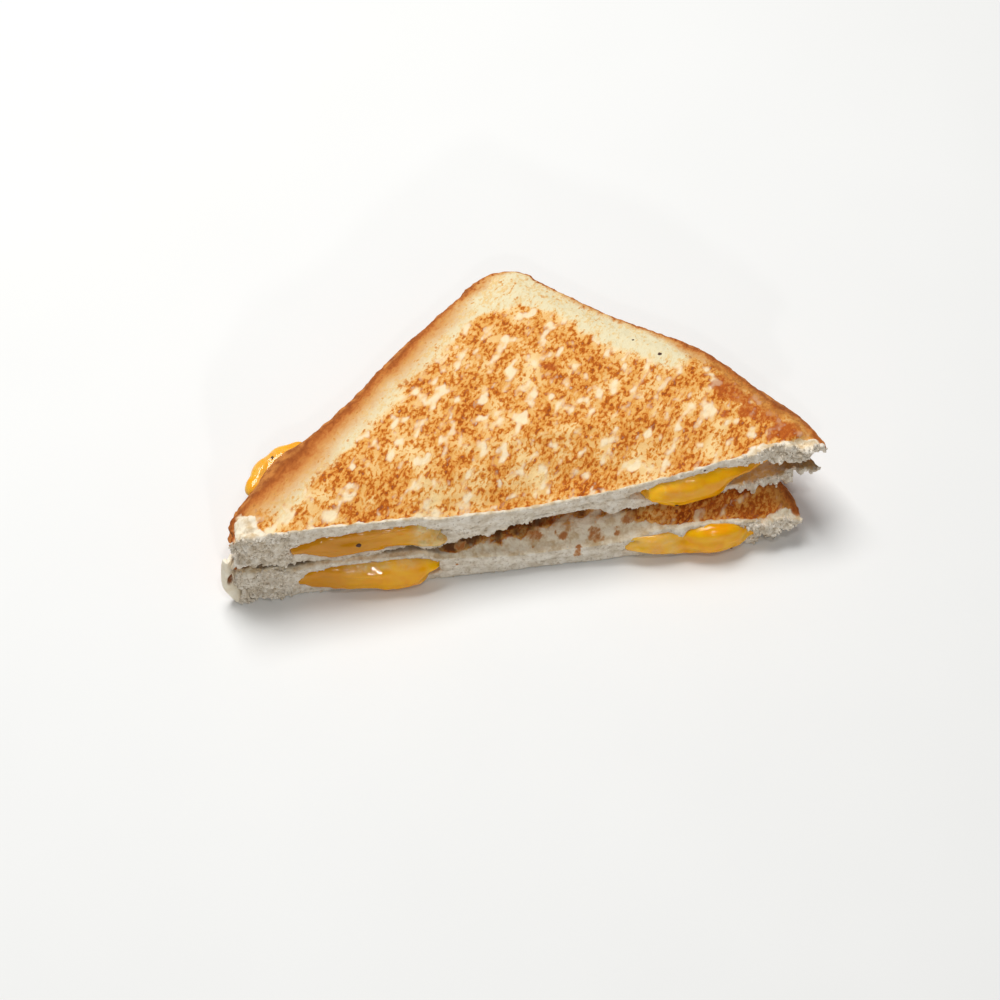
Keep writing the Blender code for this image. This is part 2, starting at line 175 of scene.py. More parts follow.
SPECKS = (  # dark flecks: the piece, the place in millimetres, and the radius
    ("upper_half_top_bread", (35.0, 9.4, 26.0), 0.34),
    ("upper_half_top_bread", (41.0, 4.1, 26.0), 0.50),
    ("upper_half_top_bread", (46.9, -32.8, 25.2), 0.30),
    ("upper_half_cheese", (-43.1, -39.1, 17.8), 0.62),
    ("upper_half_cheese", (39.4, -37.2, 15.8), 0.42),
    ("lower_half_cheese", (53.6, -42.0, 2.4), 0.42),
    ("upper_half_cheese", (-62.5, -12.5, 23.0), 0.42),
)

# Places on the top face that stayed pale, and places that browned: x, y and radius in millimetres.
PALE_SPOTS = (
    (15.5, 3.5, 3.0), (7.0, -2.5, 3.6), (13.0, -7.0, 3.2), (13.0, -15.0, 3.0), (5.5, -27.5, 3.2),
    (22.5, -24.0, 3.2), (-15.0, -18.0, 3.0), (-22.0, -29.0, 3.6), (-25.0, -36.0, 3.6), (-40.0, -32.0, 2.4),
    (2.0, -11.0, 3.0), (40.0, -13.0, 2.6), (60.0, -16.0, 2.4), (30.0, -27.0, 2.6), (36.0, 9.0, 7.5),
    (31.0, 16.0, 6.0), (45.0, -1.0, 3.0), (-28.0, -21.0, 3.0), (-5.0, 6.0, 2.6), (-52.0, -17.0, 4.0),
    (48.0, -28.0, 2.6),
)
BROWN_SPOTS = (
    (-46.0, -25.0, 5.0), (-31.0, -26.0, 4.0), (-42.0, -34.0, 4.5), (-20.0, -15.0, 5.0), (-35.0, -12.0, 5.5),
    (-5.0, -24.0, 5.0), (-12.0, -7.0, 6.0), (4.0, -12.0, 4.5), (-5.0, 9.0, 5.5), (8.0, 15.0, 4.5),
    (20.0, 9.0, 4.5), (25.0, 2.0, 5.5), (30.0, -8.0, 5.0), (43.0, -8.0, 5.0), (47.0, -20.0, 5.5),
    (31.0, -17.0, 5.0), (17.0, -33.0, 4.5), (-6.0, -33.0, 4.0), (-66.0, -34.0, 4.0), (-17.0, -27.0, 4.5),
    (12.0, 3.0, 3.6), (57.0, -24.0, 4.5), (0.0, -2.0, 5.0), (52.0, -5.0, 5.0), (51.0, -13.0, 5.5),
)
SCORCHED = (  # burnt places: the streak at the right end, and one small place in the middle
    (62.0, -6.0, 4.5), (65.5, -12.0, 4.5), (66.5, -18.0, 4.5), (70.0, -24.0, 4.0), (58.0, -1.0, 3.0),
    (12.0, 3.5, 1.5), (56.5, -7.0, 3.6), (59.0, -12.0, 4.6), (61.0, -17.0, 3.6),
)
RAMP_SPOTS = (  # brown places on the pinched slice under the arch
    (2.8, -35.2, 1.7), (10.2, -36.2, 1.4), (18.0, -36.6, 1.9), (27.2, -34.4, 1.5), (13.4, -39.6, 1.0),
    (-17.5, -36.6, 1.4), (24.0, -37.2, 1.2),
)

CRUMB_COUNT = 420  # for each slice
CRUMB_SIZES, CRUMB_TIP_SCALE = (0.12 * MM, 0.30 * MM), 1.9  # the radii, and how much larger they are at a tip
# The torn skin of crust, in millimetres: the middle of its foot, and its height, half width and thickness.
SKIN_FOOT, SKIN_HEIGHT, SKIN_HALF_WIDTH, SKIN_THICKNESS = (-76.4, -40.6, 0.35), 15.2, 2.0, 1.1
SKIN_HOLE = (-76.7, 8.6)  # the middle of its hole, along and up
SKIN_HOLE_RADII = (0.8, 1.6)

COLOURS = {  # red, green and blue from 0 to 255
    "toast_pale": (246, 214, 154), "toast_gold": (232, 174, 94), "toast_tan": (222, 150, 66),
    "toast_brown": (190, 100, 22), "toast_dark": (150, 72, 18), "toast_isle": (250, 231, 192),
    "border_pale": (234, 221, 182), "border_gold": (230, 192, 124), "scorched": (184, 90, 34),
    # pore_painted_shade is painted shade for the inside of the crumb's pores.
    "crumb_shade": (210, 196, 174), "crumb_light": (244, 236, 222), "pore_painted_shade": (170, 148, 120),
    "crust_light": (206, 132, 64), "crust_dark": (158, 88, 40), "bared_shade": (214, 188, 148),
    "bared_light": (246, 234, 210), "roast_light": (212, 145, 68), "roast_brown": (190, 104, 40),
    "roast_dark": (136, 64, 22), "roast_mottle": (140, 72, 24), "greasy": (216, 176, 112),
    # painted_shade_brown is painted shade: a dark brown laid over toasted crust where the gap shades it.
    "painted_shade_brown": (92, 60, 36), "spot_edge": (208, 162, 108), "spot_middle": (180, 104, 46),
    # painted_shade_amber is painted shade on the cheese.
    "cheese_bright": (252, 186, 2), "cheese_warm": (246, 166, 0), "painted_shade_amber": (206, 134, 0),
    "cheese_film": (234, 204, 140), "skin_shade": (238, 224, 196), "skin_light": (250, 242, 222),
    # painted_hole_shade is painted shade for the hole in the crust skin.
    "painted_hole_shade": (150, 96, 56), "fleck_dark": (46, 24, 12), "fleck_light": (92, 48, 20),
    "floor_shade": (236, 236, 234), "floor_light": (240, 240, 238),
}

WORLD_STRENGTH = 0.16
LIGHTS = (  # name, power in watts, size and place; each is aimed at the middle of the underside
    ("key", 9.6, 0.5, (-0.16, 0.36, 0.95)),
    ("front", 0.8, 0.04, (0.05, -0.32, 0.90)),
    ("glints", 1.3, 0.045, (0.0, -1.05, 0.40)),
    ("high_glints", 0.5, 0.03, (-0.10, -0.75, 0.75)),
)
FLOOR_SIZE, FLOOR_DROP = 3.0, 0.0002
# The photo's camera: 55 degrees below the horizon, as worked out from the board in the photo.
CAMERA_PLACE = (-0.05577, -0.40541, 0.55916)
CAMERA_TILT, CAMERA_TURN = math.radians(35.0), math.radians(-7.593)
CAMERA_LENS, CAMERA_SENSOR = 92.44, 36.0  # millimetres


# ---------------------------------------------------------------- numbers
def ramp(value, low, high):
    """0 below low, 1 above high, smooth between."""
    share = np.clip((value - low) / (high - low), 0.0, 1.0)
    return share * share * (3.0 - 2.0 * share)


def hump(value, half_width):
    """1 at 0, falling smoothly away on either side."""
    return np.exp(-((value / half_width) ** 2))


def band(value, low, high, ease):
    """1 from low to high, falling smoothly to 0 over ease on either side."""
    return ramp(value, low - ease, low) * (1.0 - ramp(value, high, high + ease))


def field(points, size, seed):
    """Noise at each point, in lumps of that size; size is one number or one for each axis."""
    scaled = points / (np.asarray(size) * MM) + 31.7 * seed
    return np.array([noise.noise(point, noise_basis="PERLIN_ORIGINAL") for point in scaled.tolist()])


def pits(points, size, seed):
    """1 at the middle of each scattered cell, falling to 0 half way to the next."""
    scaled = points / (np.asarray(size) * MM) + 17.3 * seed
    return np.array([max(0.0, 1.0 - 2.2 * noise.voronoi(point)[0][0]) for point in scaled.tolist()])


def part_field(where, points, make):
    """make(points) worked out only where the mask is over zero, and scaled by it."""
    values = np.zeros(len(points))
    near = where > 0.01
    values[near] = make(points[near]) * where[near]
    return values


def spots_at(points, spots, lump=3.2):
    """1 in the given places in plan, 0 away from them, with outlines uneven in lumps of that size."""
    wobble = 1.0 + 0.9 * field(points, lump, 21)
    total = np.zeros(len(points))
    for x, y, radius in spots:
        away = np.hypot(points[:, 0] / MM - x, points[:, 1] / MM - y) / radius
        total = np.maximum(total, 1.0 - ramp(away * wobble, 0.45, 1.25))
    return total


def nudged(points, nudges):
    """The points after the nudges, each of which fades to nothing at its reach."""
    for centre, reach, move in nudges:
        away = np.linalg.norm((points / MM - centre) / reach, axis=1)
        points = points + (1.0 - ramp(away, 0.0, 1.0))[:, None] * np.array(move) * MM
    return points


# ---------------------------------------------------------------- meshes
def link(name, data):
    """A new object in the scene."""
    thing = bpy.data.objects.new(name, data)
    bpy.context.scene.collection.objects.link(thing)
    return thing


def get_points(mesh):
    points = np.empty(len(mesh.vertices) * 3)
    mesh.vertices.foreach_get("co", points)
    return points.reshape(-1, 3)


def get_normals(mesh):
    normals = np.empty(len(mesh.vertices) * 3)
    mesh.vertex_normals.foreach_get("vector", normals)
    return normals.reshape(-1, 3)


def put_points(mesh, points):
    mesh.vertices.foreach_set("co", points.ravel())
    mesh.update()


def put_attribute(mesh, name, values):
    attribute = mesh.attributes.new(name, "FLOAT", "POINT")
    attribute.data.foreach_set("value", values)


def add_lumps(mesh, lumps):
    bm = bmesh.new()
    bm.from_mesh(mesh)
    for centre, radii, turn in lumps:
        matrix = Matrix.Translation(Vector(centre) * MM) @ Matrix.Rotation(math.radians(turn), 4, "Z")
        matrix @= Matrix.Diagonal((*(Vector(radii) * MM), 1.0))
        bmesh.ops.create_icosphere(bm, subdivisions=4, radius=1.0, matrix=matrix)
    bm.to_mesh(mesh)
    bm.free()


def dense_copy(node, voxel, smoothing):
    """The node's solid, with its lumps joined on, as an even fine mesh with its facets smoothed away."""
    piece = link("dense_" + node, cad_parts[node].data.copy())
    add_lumps(piece.data, LUMPS.get(node, ()))
    remesh = piece.modifiers.new("voxels", "REMESH")
    remesh.mode = "VOXEL"
    remesh.voxel_size = voxel
    smooth = piece.modifiers.new("smooth", "SMOOTH")
    smooth.factor = 0.5
    smooth.iterations = smoothing
    graph = bpy.context.evaluated_depsgraph_get()
    mesh = bpy.data.meshes.new_from_object(piece.evaluated_get(graph))
    bpy.data.objects.remove(piece)
    return mesh


def keep_largest(mesh):
    """Removes loose scraps that the voxels left."""
    bm = bmesh.new()
    bm.from_mesh(mesh)
    seen, largest = set(), set()
    for start in bm.verts:
        if start in seen:
            continue
        group, newest = {start}, [start]
        while newest:
            vertex = newest.pop()
            for edge in vertex.link_edges:
                other = edge.other_vert(vertex)
                if other not in group:
                    group.add(other)
                    newest.append(other)
        seen |= group
        if len(group) > len(largest):
            largest = group
    bmesh.ops.delete(bm, geom=[vertex for vertex in bm.verts if vertex not in largest], context="VERTS")
    bm.to_mesh(mesh)
    bm.free()


def refine(mesh, is_fine):
    """Splits in four the faces whose middle is_fine picks."""
    bm = bmesh.new()
    bm.from_mesh(mesh)
    edges = {edge for face in bm.faces if is_fine(face.calc_center_median()) for edge in face.edges}
    bmesh.ops.subdivide_edges(bm, edges=list(edges), cuts=1, use_grid_fill=True)
    bm.to_mesh(mesh)
    bm.free()


# ---------------------------------------------------------------- where a point is on the sandwich
class Cut:
    """The line of a half's cut in plan, from the front edge of its solids."""

    def __init__(self, nodes):
        points = np.concatenate([get_points(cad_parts[node].data) for node in nodes])
        self.x = np.linspace(points[:, 0].min(), points[:, 0].max(), CUT_BINS)
        bins = np.digitize(points[:, 0], (self.x[1:] + self.x[:-1]) / 2.0)
        known = [index for index in range(CUT_BINS) if (bins == index).any()]
        foremost = [points[bins == index, 1].min() for index in known]
        self.y = np.interp(self.x, self.x[known], foremost)
        # Where a stretch holds no corner of the edge itself, the line goes straight between its neighbours.
        self.y[1:-1] = np.minimum(self.y[1:-1], (self.y[:-2] + self.y[2:]) / 2.0)

    def depth(self, points):
        """How far behind the cut each point is."""
        return points[:, 1] - np.interp(points[:, 0], self.x, self.y)


def mesh_tree(mesh, picks):
    """A search tree of the mesh's faces that picks(face) chooses."""
    corners = [vertex.co for vertex in mesh.vertices]
    return BVHTree.FromPolygons(corners, [face.vertices[:] for face in mesh.polygons if picks(face)])


def tree_of(node, picks):
    """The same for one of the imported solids."""
    return mesh_tree(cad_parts[node].data, picks)


def is_crust(face):
    """Whether a face is on the two legs of the triangle or on its corner, and not on the cut."""
    outward = face.normal.y > 0.1 and abs(face.normal.z) < 0.75
    near_leg = abs(face.center.x) > 45.0 * MM or face.center.y > -20.0 * MM
    return outward and near_leg and (abs(face.normal.x) > 0.35 or face.center.y > 0.0)


def distance_to(tree, points):
    return np.array([tree.find_nearest(point)[3] for point in points.tolist()])


def nearest_on(tree, points):
    return np.array([tree.find_nearest(point)[0] for point in points.tolist()])


cuts = {
    "lower": Cut(["lower_half_bottom_bread", "lower_half_top_bread"]),
    "upper": Cut(["upper_half_bottom_bread", "upper_half_top_bread"]),
}


# ---------------------------------------------------------------- bread
def torn_crumb(spots):
    """Relief of cut crumb in millimetres, rougher towards the two tips."""
    below = 1.0 - ramp(spots[:, 2], 14.5 * MM, 18.0 * MM)
    tip = ramp(np.abs(spots[:, 0] / MM + 2.0) + 7.0 * below, 60.0, 73.0)
    relief = 0.30 * field(spots, (4.5, 2.0, 1.3), 4) + 0.17 * field(spots, (0.9, 0.9, 0.7), 5)
    relief -= 0.20 * pits(spots, (2.4, 1.4, 0.9), 6)
    lumps = 4.4 * np.abs(field(spots, (3.8, 3.0, 2.4), 8)) + 1.3 * np.abs(field(spots, (1.5, 1.4, 1.1), 12))
    return relief + tip * 1.3 * np.tanh((lumps - 1.2) / 1.3)


def toast_relief(spots):
    return 0.16 * field(spots, 2.6, 2) + 0.16 * field(spots, 1.1, 3)


def crust_relief(spots):
    return 0.3 * field(spots, (5.0, 5.0, 1.6), 8) + 0.2 * field(spots, 1.5, 9)


def bread_relief(points, normals, rim, depth, toasted):
    """How far each point of a slice is pushed out along its normal."""
    crust = (1.0 - ramp(rim, 0.4 * MM, 1.6 * MM)) * (1.0 - ramp(-normals[:, 1], 0.7, 0.9))
    wall = (1.0 - ramp(depth, 0.6 * MM, 1.8 * MM)) * ramp(-normals[:, 1], 0.1, 0.6)
    push = 0.30 * field(points, 12.0, 1)
    push += part_field(toasted, points, toast_relief)
    push += part_field(wall, points, torn_crumb)
    push += part_field(crust, points, crust_relief)
    return push * MM


def crumb_border(node, points):
    """How far in from the cut the toasted face is still bare crumb, in millimetres."""
    x = points[:, 0] / MM
    if node == "lower_half_top_bread":
        under = 3.0 + 0.15 * (x + 5.0)
        width = under * ramp(x, -25.0, -20.0) * (1.0 - ramp(x, 20.0, 38.0))
        width += 14.0 * (1.0 - ramp(x, -30.0, -20.0)) + 1.0 + 2.5 * ramp(x, 60.0, 70.0)
        return width * (1.0 + 0.2 * field(points, 1.4, 22) + 0.4 * field(points, 3.0, 25))
    if node == "upper_half_top_bread":
        width = 0.6 + 11.0 * (1.0 - ramp(x, -75.0, -65.0)) + 2.0 * ramp(x, 50.0, 64.0)
    else:
        width = np.full(len(x), 1.0)
    return width * (1.0 + 0.8 * field(points, 2.4, 22))


def roast_width(points):
    """How far in from the crust the toasted face is browned by it, in millimetres."""
    x, y = points[:, 0] / MM, points[:, 1] / MM
    left = 1.0 - ramp(x, 0.0, 8.0)
    leak = hump(np.hypot(x + 60.0, y + 14.0), 12.0)
    corner = 1.6 * band(y, 30.0, 60.0, 8.0) * left + 0.5 * ramp(y, 26.0, 36.0)
    return 1.2 + 2.5 * left + 1.3 * leak + 1.3 * ramp(x, 38.0, 52.0) - corner


def inset(points, rim):
    """How far each point is into the toasted middle, in millimetres.

    The crust corner and the legs stayed pale, and the two ends browned as far as the crust.
    """
    x, y = points[:, 0] / MM, points[:, 1] / MM
    pale_corner = 12.0 * ramp(y, 19.0, 32.0)
    pale_legs = 3.0 * band(x, -58.0, -12.0, 10.0) + 4.5 * ramp(x, 12.0, 26.0) * band(y, 0.0, 20.0, 6.0)
    browned_ends = 9.0 * ramp(x, 42.0, 54.0) + 4.0 * (1.0 - ramp(x, -72.0, -62.0))
    return rim / MM - pale_corner - pale_legs + browned_ends


def edge_height(points, node):
    """The height of the slice's underside at the cut, over the length of the cut."""
    corners = get_points(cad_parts[node].data)
    front = corners[cuts[node[:5]].depth(corners) < 0.6 * MM]
    bins = np.linspace(front[:, 0].min(), front[:, 0].max(), CUT_BINS)
    which = np.digitize(front[:, 0], bins)
    known = [index for index in range(CUT_BINS + 1) if (which == index).any()]
    lowest = [front[which == index, 2].min() for index in known]
    middles = [front[which == index, 0].mean() for index in known]
    return np.interp(points[:, 0], middles, lowest)


def slice_copy(node):
    """A dense copy of the slice and its points, finer near the cut, with the solid's own crisp edge there."""
    cut = cuts[node[:5]]
    mesh = dense_copy(node, BREAD_VOXEL, BREAD_SMOOTHING)
    refine(mesh, lambda middle: middle.y - np.interp(middle.x, cut.x, cut.y) < FINE_DEPTH)
    points = get_points(mesh)
    crisp = 1.0 - ramp(cut.depth(points), *CRISP_DEPTH)
    near = crisp > 0.0
    points[near] += (nearest_on(tree_of(node, bool), points[near]) - points[near]) * crisp[near, None]
    put_points(mesh, points)
    return mesh, points


def baked(node, points, normals, rim, depth, toasted, bare, gap):
    """Where the slice's points lie once it is baked, pressed to the other slice of its half, and torn."""
    side = SLICES[node][0]
    relief = bread_relief(points, normals, rim, depth, toasted)
    torn_along = ramp(np.abs(points[:, 0] / MM + 5.0), 50.0, 62.0)
    torn = bare * toasted * np.maximum(torn_along, node == "lower_half_top_bread")
    relief += part_field(torn, points, lambda spots: torn_crumb(spots) * 0.6 * MM)
    moved = points + normals * relief[:, None]

    shut = (1.0 - ramp(gap, *SHUT_GAP)) * ramp(-normals[:, 2] * side, 0.0, 0.5)
    moved[:, 2] -= side * shut * (gap / 2.0 + SHUT_OVERLAP)

    if node != "lower_half_bottom_bread":
        tufts = 0.5 + field(points, (3.6, 3.0, 9.0), 24) + 0.7 * np.abs(field(points, (1.2, 1.4, 2.0), 23))
        ragged = (1.0 - ramp(depth, 0.5 * MM, 2.2 * MM)) * ramp(tufts, 0.35, 1.1)
        lower_edge = 1.0 - ramp(points[:, 2] - edge_height(points, node), 0.2 * MM, 1.6 * MM)
        reach = 0.8  # how long the tufts are that hang from the lower edge
        if node == "upper_half_bottom_bread":
            reach = 1.3 - 0.6 * ramp(points[:, 0] / MM, 50.0, 60.0)
        moved[:, 2] -= ragged * lower_edge * reach * MM
    moved = nudged(moved, NUDGES[node])
    moved[:, 2] = np.maximum(moved[:, 2], LOWEST)
    return moved


def bread_values(node, points, normals, depth, toasted, border):
    """The attributes that differ from slice to slice: what browned, what is wet, and where shade is painted as
    a dark brown.
    """
    x = points[:, 0] / MM
    brown = spots_at(points, BROWN_SPOTS) - spots_at(points, PALE_SPOTS)
    scorch = spots_at(points, SCORCHED)
    wet, deep, spot = np.zeros((3, len(points)))
    if node == "lower_half_top_bread":
        brown, scorch = 0.7 * np.ones(len(points)), 0.5 * ramp(points[:, 0], 0.03, 0.05)
        # Painted shade: the toasted top is darkened to a dark brown further in under the arch, where the upper
        # half shades it.
        deep = band(x, -20.0, 26.0, 7.0) * ramp(depth / MM, 0.8 * border, 1.7 * border)
        # More painted shade on the toast in the crevice under the upper half at the left.
        left = 0.75 * (1.0 - ramp(x, -24.0, -16.0))
        deep = np.maximum(deep, left * toasted * ramp(depth, 1.2 * MM, 2.2 * MM))
        deep *= 1.0 - ramp(depth, 10.0 * MM, 16.0 * MM)
        spot = spots_at(points, RAMP_SPOTS, 1.5)
    if node == "upper_half_bottom_bread":
        wet = ramp(normals[:, 2], 0.1, 0.6) * ramp(x, 50.0, 58.0)
        # Painted shade on the wet face under the torn rim of the top slice at the right tip.
        deep = 0.6 * wet * ramp(x, 64.0, 70.0)
    return {"brown": brown, "scorch": scorch, "wet": wet, "deep": deep, "spot": spot}


def bread(node):
    """One slice, baked: its mesh, its relief, and the attributes that its material reads."""
    side, partner = SLICES[node]

    def same_way(face):
        """Whether a face looks as this slice's toasted face does; the inner face of its partner does too."""
        return face.normal.z * side > 0.5

    mesh, points = slice_copy(node)
    normals = get_normals(mesh)
    rim = distance_to(tree_of(node, is_crust), points)
    outer = distance_to(tree_of(node, same_way), points)
    gap = distance_to(tree_of(partner, same_way), points)
    depth = cuts[node[:5]].depth(points)
    border = crumb_border(node, points)
    toasted = ramp(normals[:, 2] * side, 0.3, 0.65) * (1.0 - ramp(outer, 0.5 * MM, 1.2 * MM))
    bare = 1.0 - ramp(depth / MM, 0.75 * border, 1.3 * border)
    put_points(mesh, baked(node, points, normals, rim, depth, toasted, bare, gap))

    values_of = bread_values(node, points, normals, depth, toasted, border)
    values_of |= {"rim": rim / MM, "depth": depth / MM, "toasted": toasted, "bare": bare}
    values_of |= {"roast": roast_width(points), "inset": inset(points, rim)}
    for name in BREAD_ATTRIBUTES:
        put_attribute(mesh, name, values_of[name])
    mesh.shade_smooth()
    piece = link(node + "_baked", mesh)
    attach(piece, "root")
    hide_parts(node)
    return piece


def crumbs(name, bread_pieces, seed):
    """Small torn lumps of crumb that stand on the cut edges, as one mesh."""
    rng = np.random.default_rng(seed)
    bm = bmesh.new()
    bmesh.ops.create_icosphere(bm, subdivisions=2, radius=1.0)
    shape = np.array([vertex.co[:] for vertex in bm.verts])
    faces = np.array([[vertex.index for vertex in face.verts] for face in bm.faces])
    bm.free()
    all_points, all_faces = [], []
    for piece in bread_pieces:
        mesh = piece.data
        points, normals = get_points(mesh), get_normals(mesh)
        depth = np.empty(len(points))
        mesh.attributes["depth"].data.foreach_get("value", depth)
        corner = (depth < 1.0) & (normals[:, 1] < -0.25) & (np.abs(normals[:, 2]) > 0.25)
        tip = np.abs(points[:, 0] + 2.0 * MM) > 58.0 * MM
        face = (depth < 1.0) & (normals[:, 1] < -0.3)
        weight = corner * (0.2 + (normals[:, 2] < 0.0)) + face * (0.02 + 0.6 * tip)
        picked = rng.choice(len(points), size=CRUMB_COUNT, p=weight / weight.sum(), replace=False)
        for index in picked:
            size = rng.uniform(*CRUMB_SIZES) * (CRUMB_TIP_SCALE if tip[index] else 1.0)
            stretch = rng.uniform(0.6, 1.4, 3)
            rough = 1.0 + 0.5 * field(shape * MM, 0.9, index)
            turned = shape * stretch * rough[:, None] * size
            place = points[index] + normals[index] * size * 0.1
            all_faces.append(faces + len(all_points) * len(shape))
            all_points.append(turned + place)
    points = np.concatenate(all_points)
    points[:, 2] = np.maximum(points[:, 2], LOWEST)
    mesh = bpy.data.meshes.new(name)
    mesh.from_pydata(points.tolist(), [], np.concatenate(all_faces).tolist())
    plain = {"rim": 20.0, "roast": 1.0}  # far from the crust, so the material makes bare crumb of them
    for attribute in BREAD_ATTRIBUTES:
        put_attribute(mesh, attribute, np.full(len(points), plain.get(attribute, 0.0)))
    mesh.shade_smooth()
    piece = link(name, mesh)
    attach(piece, "root")
    return piece


def crust_skin():
    """The pale skin of crust left standing at the left tip of the lower half, with a dent where it is torn,
    painted dark as the shade of a hole.
    """
    rows, columns = 46, 22
    up, across = np.meshgrid(np.linspace(0.0, 1.0, rows), np.linspace(-1.0, 1.0, columns), indexing="ij")
    foot_x, foot_y, foot_z = SKIN_FOOT
    width = SKIN_HALF_WIDTH * (0.75 + 0.35 * np.sin(np.pi * up**0.8))
    x = foot_x + across * width - 0.9 * np.sin(np.pi * up) + 1.2 * (1.0 - up) ** 2
    y = foot_y + 2.4 * up + 1.9 * across**2 + 0.5 * across
    z = foot_z + SKIN_HEIGHT * up
    flat = np.column_stack([x.ravel(), y.ravel(), z.ravel()]) * MM
    flat += field(flat, (4.0, 4.0, 6.0), 31)[:, None] * np.array([0.35, 0.5, 0.0]) * MM
    hole_x = (flat[:, 0] / MM - SKIN_HOLE[0]) / SKIN_HOLE_RADII[0]
    hole_z = (flat[:, 2] / MM - SKIN_HOLE[1]) / SKIN_HOLE_RADII[1]
    hole = np.hypot(hole_x, hole_z) * (1.0 + 0.5 * field(flat, 1.5, 32))
    # The hole is only a dent; its dark colour is painted shade.
    flat[:, 1] += 1.3 * MM * (1.0 - ramp(hole, 0.55, 1.15))
    index = np.arange(rows * columns).reshape(rows, columns)
    quads = np.stack([index[:-1, :-1], index[:-1, 1:], index[1:, 1:], index[1:, :-1]], axis=-1).reshape(-1, 4)
    mesh = bpy.data.meshes.new("left_tip_crust_skin")
    mesh.from_pydata(flat.tolist(), [], quads.tolist())
    put_attribute(mesh, "hole", 1.0 - ramp(hole, 0.8, 1.15))
    piece = link("left_tip_crust_skin", mesh)
    solid = piece.modifiers.new("thickness", "SOLIDIFY")
    solid.thickness = SKIN_THICKNESS * MM
    solid.offset = -1.0
    smooth = piece.modifiers.new("smooth", "SUBSURF")
    smooth.levels = smooth.render_levels = 1
    mesh.shade_smooth()
    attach(piece, "root")
    return piece


def specks(pieces):
    """The dark flecks, as one mesh, each lying on the piece that it is named for."""
    bm = bmesh.new()
    for node, place, radius in SPECKS:
        piece = next(piece for piece in pieces if piece.name.startswith(node))
        tree = mesh_tree(piece.data, bool)
        spot, normal = tree.find_nearest(Vector(place) * MM)[:2]
        matrix = Matrix.Translation(spot) @ normal.to_track_quat("Z", "Y").to_matrix().to_4x4()
        matrix @= Matrix.Diagonal((radius * MM * 1.2, radius * MM * 0.9, radius * MM * 0.45, 1.0))
        bmesh.ops.create_icosphere(bm, subdivisions=3, radius=1.0, matrix=matrix)
    for vertex in bm.verts:
        places = [vertex.co * 2500.0 + Vector((0.0, axis * 9.0, 0.0)) for axis in range(3)]
        vertex.co += Vector([noise.noise(place) for place in places]) * 0.12 * MM
    mesh = bpy.data.meshes.new("dark_flecks")
    bm.to_mesh(mesh)
    bm.free()
    mesh.shade_smooth()
    piece = link("dark_flecks", mesh)
    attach(piece, "root")
    return piece


# ---------------------------------------------------------------- cheese
def thickness(node, points):
    """How thick the node's solid is at each point's place in plan; beside the solid, it counts as thick."""
    tree = tree_of(node, bool)
    values = []
    for x, y, _ in points.tolist():
        top = tree.ray_cast((x, y, 0.1), (0.0, 0.0, -1.0))[0]
        under = tree.ray_cast((x, y, -0.1), (0.0, 0.0, 1.0))[0]
        values.append(top.z - under.z if top and under else 9.0 * MM)
    return np.array(values)


def cheese_looks_at(node, points, depth, front):
    """Where the cheese is dulled by a pale film, and where shade is painted on it as a deeper amber, from 0 to
    1.
    """
    x, z = points[:, 0] / MM, points[:, 2] / MM
    if node == "upper_half_cheese":
        film = ramp(x, -31.0, -26.0) * (1.0 - ramp(x, -15.0, -11.0))
        film += 0.8 * ramp(x, 56.0, 64.0) * (1.0 - ramp(z, 17.0, 21.0))
        film += 0.15 * band(x, 28.0, 42.0, 6.0) * ramp(z, 18.0, 21.0)
        # Painted shade: a deeper amber on the upper left layer, which the slice above overhangs, and on its
        # tail under the top slice at the right.
        dark = (0.5 + 0.4 * (1.0 - ramp(x, -48.0, -30.0))) * band(x, -70.0, -22.0, 3.0) * front
        dark += 0.55 * ramp(x, 50.0, 60.0)
    else:
        film = 0.35 * band(x, 20.0, 38.0, 4.0) + 0.5 * band(x, -45.0, -20.0, 4.0) * ramp(z, 8.5, 10.5)
        # Painted shade: a deeper amber at the left end of the lower layer.
        dark = 0.75 * band(x, -70.0, -52.0, 16.0)
    breads = [tree_of(other, bool) for other in SLICES if other.startswith(node[:5])]
    bread_gap = np.minimum(*(distance_to(tree, points) for tree in breads)) / MM
    by_bread = 1.0 - ramp(bread_gap + 0.8 * field(points, 2.0, 16), 0.0, 0.8)
    film = np.maximum(film, 0.35 * (1.0 - dark) * front * by_bread)
    film = np.maximum(film, 0.3 * (1.0 - ramp(x, -60.0, -50.0)) * ramp(depth, 10.0 * MM, 14.0 * MM))
    film *= 0.8 + 0.8 * field(points, 2.5, 15)
    return np.clip(film, 0.0, 1.0), np.clip(dark, 0.0, 1.0)


def swell_relief(spots):
    broad = 0.5 * field(spots, (7.0, 5.0, 3.5), 13) + 0.4 * field(spots, (7.0, 4.0, 1.7), 14)
    return broad + 0.10 * field(spots, 1.8, 17)


